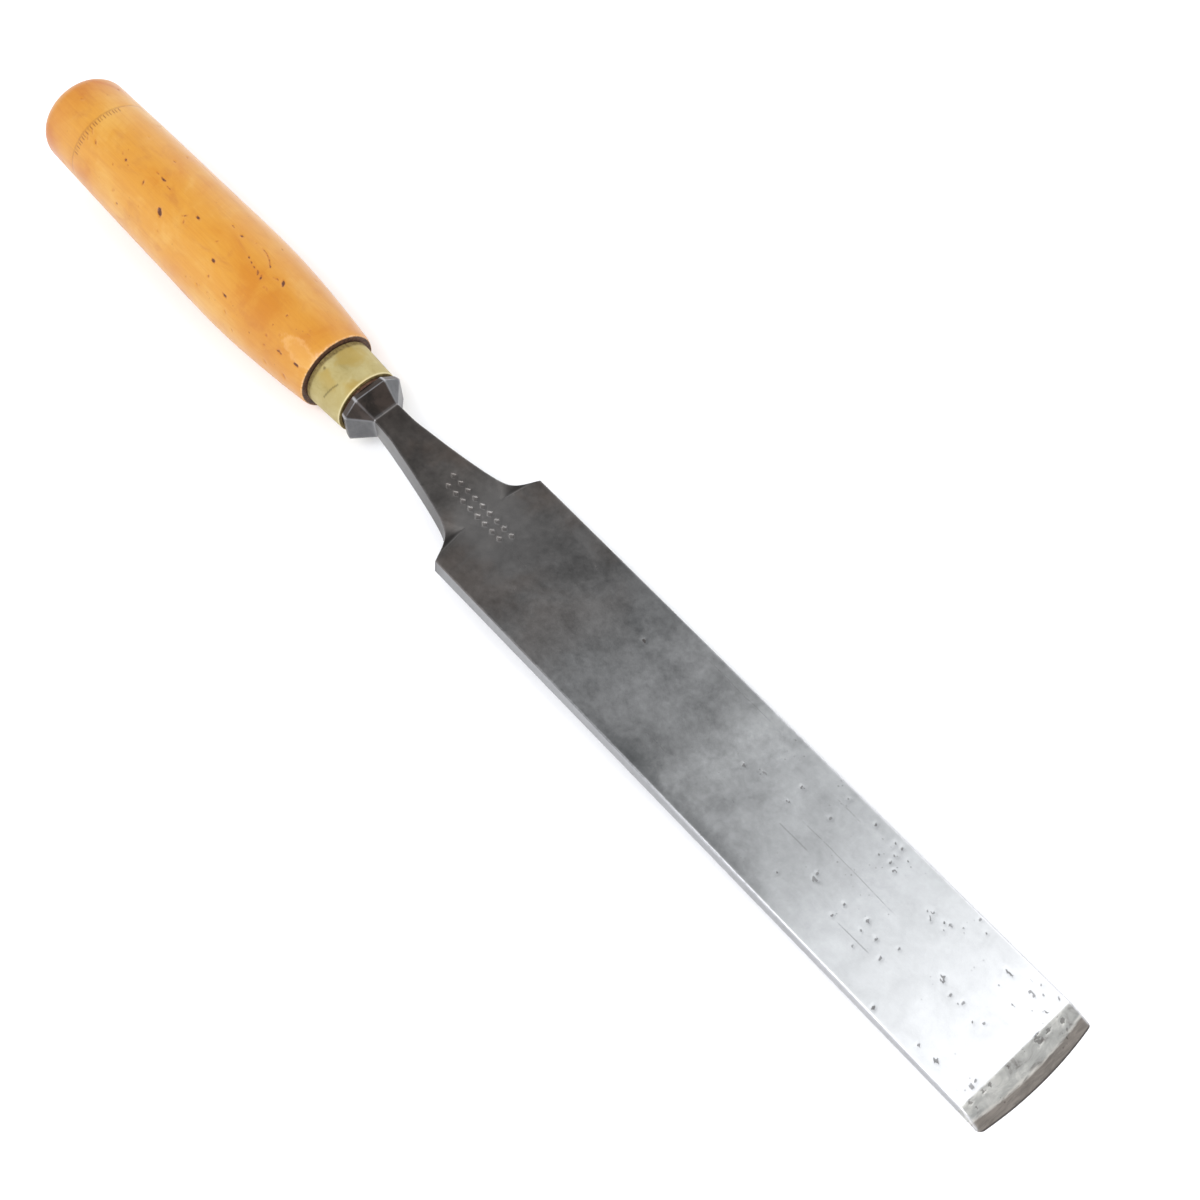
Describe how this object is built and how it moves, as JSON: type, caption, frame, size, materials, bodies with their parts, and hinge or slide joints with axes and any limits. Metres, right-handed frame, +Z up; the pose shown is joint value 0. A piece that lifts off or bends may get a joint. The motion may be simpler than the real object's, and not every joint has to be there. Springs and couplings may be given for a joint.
{
  "type": "paring chisel",
  "caption": "Long wide wood chisel: flat tanged steel blade bevelled at the tip, octagonal bolster, brass ferrule and round boxwood handle.",
  "frame": {"origin": "on the surface the tool lies on, under the middle of its overall box", "axes": "+X along the tool towards the cutting edge, +Y across the blade, +Z up; the blade's flat back faces down and the bevel faces up, and the tool is tipped 2.4 degrees because it rests on the handle's belly and the cutting edge"},
  "size_m": [0.3934, 0.0382, 0.0334],
  "materials": {
    "blade_steel": "aged grey patina, brown-grey at the neck and brighter towards the edge",
    "ferrule_brass": "dull olive-yellow, fine scratches",
    "handle_boxwood": "old glossy varnish, dents and dark nicks"
  },
  "bodies": {
    "root": {"blade_forging": "blade_steel", "ferrule": "ferrule_brass", "handle": "handle_boxwood"}
  },
  "joints": []
}
